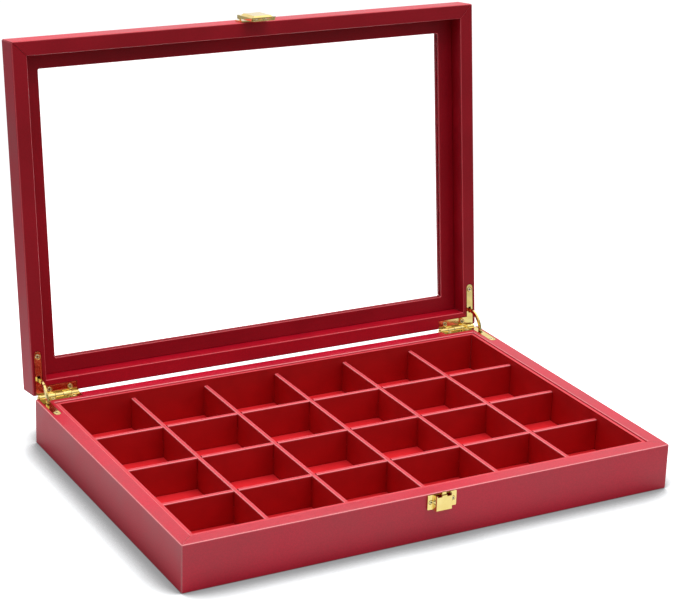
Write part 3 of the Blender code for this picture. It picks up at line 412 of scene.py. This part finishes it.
# The walls' darker red is painted shade, with a painted highlight on their corners and painted light on
# their tops; the floor's brighter red is painted light.
WALL_SHADED_RED = matt_red("matt red lacquer on dividers", "B0080E", "A4070C", "FF989E", 0.35, "DC4650")
FLOOR_LIT_RED = matt_red("matt red lacquer on floor board", "EE2A32", "E2242C", "EE2A32", 0.3)
dress(WALL_SHADED_RED, *("long_divider_%d" % number for number in (1, 2, 3)))
dress(WALL_SHADED_RED, *("short_divider_%d" % number for number in (1, 2, 3, 4, 5)))
dress(WALL_SHADED_RED, *("liner_" + side for side in ("front", "back", "left", "right")))
dress(FLOOR_LIT_RED, "tray_floor")
print("lined the tray")

# %% [markdown]
# ## The window
#
# The window is a plain sheet of float glass. It is nearly invisible here, so the
# shader is clear glass with its usual index, and the faint film that every pane
# carries is a slow change of roughness over a few centimetres. A lamp's light
# should pass through it, and a shadow ray can't bend, so for shadow rays it is
# simply transparent.
#
# The thin frame that holds the pane is red lacquer like the lid's inside, with
# the same painted shade and painted edge highlight, only a little flatter.

# %% Float glass and its frame
GLASS_IOR = 1.45
FILM_SIZE = 60.0
FILM_ROUGHNESS = 0.03
FRAME_ROUGHNESS = 0.45
FRAME_SHINE = 0.2


def float_glass():
    """Clear glass with a faint film, which lets shadow rays through."""
    material, tree, shader = new_material("clear float glass")
    place = add_node(tree, "ShaderNodeTexCoord").outputs["Object"]
    smear = add_node(tree, "ShaderNodeTexNoise", Vector=place, Scale=per_mm(FILM_SIZE), Detail=2.0)
    film = add_node(tree, "ShaderNodeMapRange", Value=smear.outputs["Fac"], To_Max=FILM_ROUGHNESS)
    set_sockets(tree, shader, Base_Color=linear("FDFEFE"), Roughness=film.outputs[0], IOR=GLASS_IOR,
                Transmission_Weight=1.0)
    through = add_node(tree, "ShaderNodeBsdfTransparent")
    path = add_node(tree, "ShaderNodeLightPath")
    mix = add_node(tree, "ShaderNodeMixShader", i0=path.outputs["Is Shadow Ray"],
                   i1=shader.outputs[0], i2=through.outputs[0])
    tree.links.new(mix.outputs[0], tree.nodes["Material Output"].inputs["Surface"])
    return material


dress(float_glass(), "glass_pane")
# The retainer takes the lid's painted-shade reds and the painted edge highlight.
dress(red_lacquer("red satin lacquer retainer", "X", LID_SHADED_RED, LID_SHADED_DEEP, LID_EDGE_HIGHLIGHT, FRAME_ROUGHNESS,
                  FRAME_SHINE, OPEN_ANGLE), "glass_retainer")
print("glazed the lid")

# %% [markdown]
# ## The bottom panel
#
# The panel under the tray is taken as raw hardboard, as on many such trays:
# pressed brown fibre, dull, with flecks of a millimetre or two. Single fibres
# would be too fine to see, so one noise gives the flecks' colour and relief.

# %% Raw hardboard
FLECK_SIZE = 1.6
FIBRE_ROUGHNESS = 0.75


def hardboard():
    """Raw pressed fibre: a brown ground with darker and paler flecks."""
    material, tree, shader = new_material("raw hardboard")
    place = add_node(tree, "ShaderNodeTexCoord").outputs["Object"]
    fleck = add_node(tree, "ShaderNodeTexNoise", Vector=place, Scale=per_mm(FLECK_SIZE), Detail=5.0)
    tone = add_node(tree, "ShaderNodeMix", {"data_type": "RGBA"}, Factor=fleck.outputs["Fac"],
                    i6=linear("3B2118"), i7=linear("7A5138"))
    bump = add_node(tree, "ShaderNodeBump", Height=fleck.outputs["Fac"], Strength=0.3, Distance=mm(0.1))
    set_sockets(tree, shader, Base_Color=tone.outputs[2], Roughness=FIBRE_ROUGHNESS, Normal=bump.outputs[0])
    return material


dress(hardboard(), "bottom_panel")
print("laid the bottom panel")

# %% [markdown]
# ## Gilt steel
#
# The fittings are stamped steel with a bright brass-coloured plating. Plating
# is thin and polished, so the highlights are sharp, but the stamped sheet
# under it is never quite flat: a slow wave of a few millimetres bends the
# reflections, and fine rubbing marks of a few tenths break them up. The marks
# are drawn a little coarser than they are, so that they show.
#
# The screws are plated paler than the stampings. Their recesses are painted
# dark and dull: painted shade.

# %% Gilt plating
WAVE_SIZE = 6.0
RUB_SIZE = 0.7


def gilt(name, base, deep, roughness):
    """Polished brass-coloured plating on a sheet with a slow wave and fine rubbing marks."""
    material, tree, shader = new_material(name)
    place = add_node(tree, "ShaderNodeTexCoord").outputs["Object"]
    wave = add_node(tree, "ShaderNodeTexNoise", Vector=place, Scale=per_mm(WAVE_SIZE), Detail=1.0)
    rub = add_node(tree, "ShaderNodeTexNoise", Vector=place, Scale=per_mm(RUB_SIZE), Detail=3.0)
    tone = add_node(tree, "ShaderNodeMix", {"data_type": "RGBA"}, Factor=wave.outputs["Fac"],
                    i6=linear(deep), i7=linear(base))
    rough = add_node(tree, "ShaderNodeMapRange", Value=rub.outputs["Fac"],
                     To_Min=roughness - 0.05, To_Max=roughness + 0.10)
    swell = add_node(tree, "ShaderNodeBump", Height=wave.outputs["Fac"], Strength=0.35, Distance=mm(0.25))
    marks = add_node(tree, "ShaderNodeBump", Height=rub.outputs["Fac"], Strength=0.15, Distance=mm(0.03),
                     Normal=swell.outputs[0])
    set_sockets(tree, shader, Base_Color=tone.outputs[2], Metallic=1.0, Roughness=rough.outputs[0],
                Normal=marks.outputs[0])
    return material


GILT = gilt("gilt plated steel", "FAE49C", "E8C870", 0.08)
GILT_SCREW = gilt("gilt screw head", "FFF2C4", "FAE6A8", 0.10)
# A dark plating for the screw recesses: painted shade.
GILT_RECESS_SHADE = gilt("gilt screw recess", "6E5020", "4E3614", 0.40)
FITTING_WORDS = ("hinge", "stay", "latch", "keeper")
fittings = [name for name in NODES if any(word in name for word in FITTING_WORDS)]
dress(GILT, *(name for name in fittings if "screw" not in name))
dress(GILT_SCREW, *(name for name in fittings if "screw" in name))
print("plated", len(fittings), "fittings")

# %% [markdown]
# ## Softening the metal's edges
#
# Stamped metal has rolled edges, and each one catches a thin line of light. The
# solids have sharp corners, so each stamped piece is copied, its corners are
# bevelled by a fraction of a millimetre, and the copy stands for the solid. The
# leaves' edges are rounder than those of the small parts.

# %% Soften the stamped pieces
LEAF_ROLL = mm(0.50)
SMALL_ROLL = mm(0.18)
ROLL_SEGMENTS = 2
SHARP_ANGLE = math.radians(30)


def body_name(node):
    """The body that a solid rides on."""
    return next(body for body, names in frame["record"]["behaviour"]["bodies"].items() if node in names)


def stand_for(piece, node):
    """Makes a piece ride on its solid's body and stand for that solid."""
    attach(piece, body_name(node))
    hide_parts(node)


def roll_edges(name, mesh, node, radius):
    """A piece with rolled corners that stands for a solid."""
    piece = bpy.data.objects.new(name, mesh)
    bpy.context.scene.collection.objects.link(piece)
    bevel = piece.modifiers.new("rolled edge", "BEVEL")
    bevel.width = radius
    bevel.segments = ROLL_SEGMENTS
    bevel.limit_method = "ANGLE"
    bevel.angle_limit = SHARP_ANGLE
    bevel.use_clamp_overlap = True
    even = piece.modifiers.new("even shading", "WEIGHTED_NORMAL")
    even.keep_sharp = False
    mesh.shade_smooth()
    stand_for(piece, node)
    return piece


for name in fittings:
    if "screw" not in name and name != "latch_flap":
        roll = LEAF_ROLL if "leaf" in name else SMALL_ROLL
        roll_edges(name + "_soft", NODES[name].data.copy(), name, roll)
print("softened the stamped pieces")

# %% [markdown]
# ## The screws
#
# The screws are small cross-recessed ones with raised countersunk heads, pressed
# from the same plated steel. A head is a low dome, so it shows as a bright ring
# round a recess that is painted dark: painted shade. The dome rises by only a
# tenth of a millimetre, because the leaves of the shut hinge lie 0.3 mm apart.
#
# Each screw is a turned shape: rings of points round an axis, from the recess's
# floor over the dome and down the cone to the tip. The recess's ring is pulled
# in between its four arms, which makes the cross.

# %% The turned shape of a screw
RING_POINTS = 32
RECESS_RINGS = 2
RECESS_WAIST = 0.45   # how wide the recess is between its arms, as a share of an arm


def screw_rings(radius, length):
    """The radius and height of each ring in millimetres; the first two form the recess."""
    return [(0.30 * radius, -0.65), (0.62 * radius, 0.11), (0.72 * radius, 0.11), (0.86 * radius, 0.01),
            (0.92 * radius, -0.16), (0.55 * radius, -0.9), (0.5 * radius, 1.0 - length),
            (0.12 * radius, -length)]


def screw_mesh(name, place, radius, length):
    """Rings of points joined by faces; the recess gets the second material, its painted shade."""
    shape = bmesh.new()
    rings = []
    for index, (size, height) in enumerate(screw_rings(radius, length)):
        ring = []
        for step in range(RING_POINTS):
            angle = 2 * math.pi * step / RING_POINTS
            arm = RECESS_WAIST + (1 - RECESS_WAIST) * max(0.0, math.cos(4 * angle))
            reach = mm(size * (arm if index < RECESS_RINGS else 1.0))
            point = Vector((reach * math.cos(angle), reach * math.sin(angle), mm(height)))
            ring.append(shape.verts.new(place @ point))
        rings.append(ring)
    for index, (near, far) in enumerate(zip(rings, rings[1:])):
        for step in range(RING_POINTS):
            after = (step + 1) % RING_POINTS
            face = shape.faces.new((near[step], far[step], far[after], near[after]))
            face.material_index = 1 if index == 0 else 0
    shape.faces.new(rings[0]).material_index = 1
    shape.faces.new(rings[-1])
    bmesh.ops.recalc_face_normals(shape, faces=shape.faces)
    mesh = bpy.data.meshes.new(name)
    shape.to_mesh(mesh)
    shape.free()
    mesh.materials.append(GILT_SCREW)
    mesh.materials.append(GILT_RECESS_SHADE)
    mesh.shade_smooth()
    return mesh


print("a screw has", len(screw_rings(1, 1)), "rings of", RING_POINTS, "points")

# %% [markdown]
# ## Setting the screws
#
# A screw belongs where its solid is. The solid's topmost points, seen along the
# way that the head faces, are those of the head, so their middle is the head's
# centre, and no place has to be typed in, only the way that each screw faces.
# For the lid's screws that is the way they face on the shut lid, turned with it
# to where it stands open.

# %% Set the sixteen screws
LID_AXIS = Vector((0, mm(124.8), mm(31.6)))
LID_TURN = Matrix.Rotation(-OPEN_ANGLE, 3, "X")
UP, FRONT = Vector((0, 0, 1)), Vector((0, -1, 0))
HINGE_SCREW = (1.8, 8.0)   # head's radius and length in millimetres
LATCH_SCREW = (1.4, 6.0)
FACE_DEPTH = mm(0.02)      # points this near the topmost one are on the head's face


def make_screw(node, outward, radius, length):
    """A screw whose head lies where its solid's head is and faces outward."""
    points = [Vector(vertex.co) for vertex in NODES[node].data.vertices]
    reach = max(point.dot(outward) for point in points)
    top = [point for point in points if point.dot(outward) > reach - FACE_DEPTH]
    centre = sum(top, Vector()) / len(top)
    place = Matrix.Translation(centre) @ outward.to_track_quat("Z", "Y").to_matrix().to_4x4()
    name = node + "_turned"
    piece = bpy.data.objects.new(name, screw_mesh(name, place, radius, length))
    bpy.context.scene.collection.objects.link(piece)
    stand_for(piece, node)


for side in ("left", "right"):
    for number in (1, 2, 3):
        make_screw("%s_hinge_lower_screw_%d" % (side, number), UP, *HINGE_SCREW)
        make_screw("%s_hinge_upper_screw_%d" % (side, number), LID_TURN @ -UP, *HINGE_SCREW)
for number in (1, 2):
    make_screw("keeper_screw_%d" % number, FRONT, *LATCH_SCREW)
    make_screw("latch_screw_%d" % number, LID_TURN @ FRONT, *LATCH_SCREW)
print("turned 16 screws")

# %% [markdown]
# ## The flap of the latch
#
# The flap is one stamping: a shallow pan with a raised pad, folded skirts at its
# sides, and a low wall across its free end. Two slots in that wall leave a post
# in the middle. The plain solid has the pan, the pad and the skirts, so the wall
# is added to a copy of it. The wall is drawn where it is with the lid and the
# flap shut, because there it is square to the axes, and then swung up.

# %% Make the flap with its end wall
FLAP_AXIS = Vector((mm(0.6), mm(-125.7), mm(42.4)))
FLAP_TILT = math.radians(1.7)
FLAP_ROLL = mm(0.16)
WALL_LEFT, WALL_RIGHT = -8.0, 9.2          # the wall's ends in millimetres, lid shut
WALL_LOW, WALL_HIGH = 19.5, 20.3
FLANGE_FRONT, FLANGE_BACK = -126.6, -125.3
POST_FRONT, POST_BACK = -127.6, -125.7
POSTS = ((WALL_LEFT, -5.6), (-0.6, 1.8), (6.8, WALL_RIGHT))


def turned_about(axis, angle):
    """The turn about a line along X through a point."""
    return Matrix.Translation(axis) @ Matrix.Rotation(angle, 4, "X") @ Matrix.Translation(-axis)


def add_slab(shape, low, high, place):
    """Adds a box, given by two corners in millimetres, at a place."""
    size = Vector(mm(b - a) for a, b in zip(low, high))
    middle = Vector(mm((a + b) / 2) for a, b in zip(low, high))
    matrix = place @ Matrix.Translation(middle) @ Matrix.Diagonal((*size, 1.0))
    bmesh.ops.create_cube(shape, size=1.0, matrix=matrix)


def make_flap():
    """A copy of the flap's solid with the slotted wall across its end."""
    place = turned_about(LID_AXIS, -OPEN_ANGLE) @ turned_about(FLAP_AXIS, FLAP_TILT)
    shape = bmesh.new()
    shape.from_mesh(NODES["latch_flap"].data)
    add_slab(shape, (WALL_LEFT, FLANGE_FRONT, WALL_LOW), (WALL_RIGHT, FLANGE_BACK, WALL_HIGH), place)
    for left, right in POSTS:
        add_slab(shape, (left, POST_FRONT, WALL_LOW), (right, POST_BACK, WALL_HIGH), place)
    bmesh.ops.recalc_face_normals(shape, faces=shape.faces)
    mesh = bpy.data.meshes.new("latch_flap_stamping")
    shape.to_mesh(mesh)
    shape.free()
    mesh.materials.append(GILT)
    return roll_edges("latch_flap_stamping", mesh, "latch_flap", FLAP_ROLL)


flap = make_flap()
print("flap has", len(flap.data.polygons), "faces")

# %% [markdown]
# ## The floor
#
# A product picture on white needs a floor that is white but still keeps the
# object's shadow. The floor is a matt surface, lit like everything else. Where a
# camera, mirror or glass ray meets it, a glow is added, which lifts the open
# part to white. Mirror rays get only a share of it, as they would from paper
# that isn't lit so hard.
#
# The tray's own shadow is soft and short. Ambient occlusion says how much of the
# air over a point is open, and within a few centimetres of the tray it lowers
# the glow and the paper's colour together. The pale paper ends not far from the
# tray, so that less light comes back up at the lid.

# %% White floor with a contact shadow
FLOOR_SIZE = 40.0
CONTACT = 36.0        # how far from the tray the shadow reaches, in millimetres
FULL_SHADOW = 0.5     # the share of open air at which the shadow is full
SHADOW_LEVEL = 0.25   # the share of the glow that is left in full shadow
PAPER_NEAR = 0.25     # metres from the tray's middle where the pale paper starts to fade
PAPER_FAR = 0.60
MIRROR_GLOW = 0.33    # the share of the glow that mirror rays get


def straight(tree):
    """One for rays from the camera and rays that came through glass."""
    path = add_node(tree, "ShaderNodeLightPath")
    return add_node(tree, "ShaderNodeMath", {"operation": "ADD", "use_clamp": True},
                    i0=path.outputs["Is Camera Ray"], i1=path.outputs["Is Transmission Ray"]).outputs[0]


def floor_paper():
    """Matt paper, with the glow that lifts it to white and the contact shadow."""
    material, tree, shader = new_material("white studio floor")
    place = add_node(tree, "ShaderNodeVectorMath", {"operation": "LENGTH"},
                     i0=add_node(tree, "ShaderNodeTexCoord").outputs["Object"])
    close = add_node(tree, "ShaderNodeMapRange", Value=place.outputs["Value"],
                     From_Min=PAPER_FAR, From_Max=PAPER_NEAR)
    air = add_node(tree, "ShaderNodeAmbientOcclusion", {"samples": 16}, Distance=mm(CONTACT))
    open_air = add_node(tree, "ShaderNodeMapRange", {"interpolation_type": "SMOOTHSTEP"},
                        Value=air.outputs["AO"], From_Min=FULL_SHADOW)
    lit = add_node(tree, "ShaderNodeMath", {"operation": "MULTIPLY"}, i0=close.outputs[0],
                   i1=open_air.outputs[0])
    paper = add_node(tree, "ShaderNodeMix", {"data_type": "RGBA"}, Factor=lit.outputs[0],
                     i6=linear("505458"), i7=linear("C8D0D2"))
    set_sockets(tree, shader, Base_Color=paper.outputs[2], Roughness=0.9, Specular_IOR_Level=0.0)
    share = add_node(tree, "ShaderNodeMath", {"operation": "MULTIPLY_ADD"},
                     i0=add_node(tree, "ShaderNodeLightPath").outputs["Is Glossy Ray"],
                     i1=MIRROR_GLOW, i2=straight(tree))
    contact = add_node(tree, "ShaderNodeMapRange", Value=open_air.outputs[0], To_Min=SHADOW_LEVEL)
    level = add_node(tree, "ShaderNodeMath", {"operation": "MULTIPLY"}, i0=share.outputs[0],
                     i1=contact.outputs[0])
    glow = add_node(tree, "ShaderNodeEmission", Strength=level.outputs[0])
    both = add_node(tree, "ShaderNodeAddShader", i0=shader.outputs[0], i1=glow.outputs[0])
    tree.links.new(both.outputs[0], tree.nodes["Material Output"].inputs["Surface"])
    return material


def make_floor():
    """A wide flat sheet under the tray."""
    mesh = bpy.data.meshes.new("studio_floor")
    shape = bmesh.new()
    bmesh.ops.create_grid(shape, x_segments=2, y_segments=2, size=FLOOR_SIZE / 2)
    shape.to_mesh(mesh)
    shape.free()
    mesh.materials.append(floor_paper())
    floor = bpy.data.objects.new("studio_floor", mesh)
    bpy.context.scene.collection.objects.link(floor)


make_floor()
print("floor of", FLOOR_SIZE, "m with a shadow of", CONTACT, "mm")

# %% [markdown]
# ## The light
#
# The light is a big soft box overhead, with a sky that is brightest overhead
# and to the right, so that the tops are light and the front has a soft fall.
#
# Camera rays and rays through glass see a plain white world. Mirror rays meet a
# room: bright behind the tray and on the ceiling, dim in front. Plated metal
# and satin lacquer show that room, and it gives them their contrast without
# more light on the tray. The soft box itself is hidden from mirror rays,
# because its sharp square would show on every flat piece of metal.

# %% Sky and soft box
SKY_OVERHEAD = 0.92
SKY_RIGHT = 0.90
MIRROR_FRONT = 0.30
MIRROR_TURN = (-0.6, 0.5)      # from front to back, where the mirrored room gets bright
CEILING = 0.80
CEILING_EDGE = (0.55, 0.85)    # from low to high, where the mirrored ceiling starts
BOX_HEIGHT, BOX_SIZE, BOX_POWER = 1.50, 1.1, 12.0    # metres, metres and watts


def make_sky():
    """A pale sky for light, a room for mirror rays, and white for the camera."""
    world = bpy.data.worlds.new("pale sky")
    bpy.context.scene.world = world
    world.use_nodes = True
    tree = world.node_tree
    way = add_node(tree, "ShaderNodeSeparateXYZ",
                   Vector=add_node(tree, "ShaderNodeTexCoord").outputs["Generated"])
    right = add_node(tree, "ShaderNodeMath", {"operation": "MULTIPLY", "use_clamp": True},
                     i0=way.outputs["X"], i1=SKY_RIGHT)
    sky = add_node(tree, "ShaderNodeMath", {"operation": "MULTIPLY_ADD"}, i0=way.outputs["Z"],
                   i1=SKY_OVERHEAD, i2=right.outputs[0])
    walls = add_node(tree, "ShaderNodeMapRange", {"interpolation_type": "SMOOTHSTEP"},
                     Value=way.outputs["Y"], From_Min=MIRROR_TURN[0], From_Max=MIRROR_TURN[1],
                     To_Min=MIRROR_FRONT)
    ceiling = add_node(tree, "ShaderNodeMapRange", {"interpolation_type": "SMOOTHSTEP"},
                       Value=way.outputs["Z"], From_Min=CEILING_EDGE[0], From_Max=CEILING_EDGE[1],
                       To_Max=CEILING)
    room = add_node(tree, "ShaderNodeMath", i0=walls.outputs[0], i1=ceiling.outputs[0])
    glossy = add_node(tree, "ShaderNodeLightPath").outputs["Is Glossy Ray"]
    lit = add_node(tree, "ShaderNodeMix", Factor=glossy, i2=sky.outputs[0], i3=room.outputs[0])
    white = add_node(tree, "ShaderNodeMix", Factor=straight(tree), i2=lit.outputs[0], i3=1.0)
    set_sockets(tree, tree.nodes["Background"], Color=linear("FFFFFF"), Strength=white.outputs[0])


def make_soft_box():
    """A square lamp over the tray that looks straight down."""
    lamp = bpy.data.lights.new("overhead soft box", "AREA")
    lamp.energy = BOX_POWER
    lamp.size = BOX_SIZE
    holder = bpy.data.objects.new("overhead soft box", lamp)
    holder.location = (0.0, 0.0, BOX_HEIGHT)
    holder.visible_glossy = False
    bpy.context.scene.collection.objects.link(holder)


make_sky()
make_soft_box()
print("sky set, and a soft box", BOX_HEIGHT, "m up")
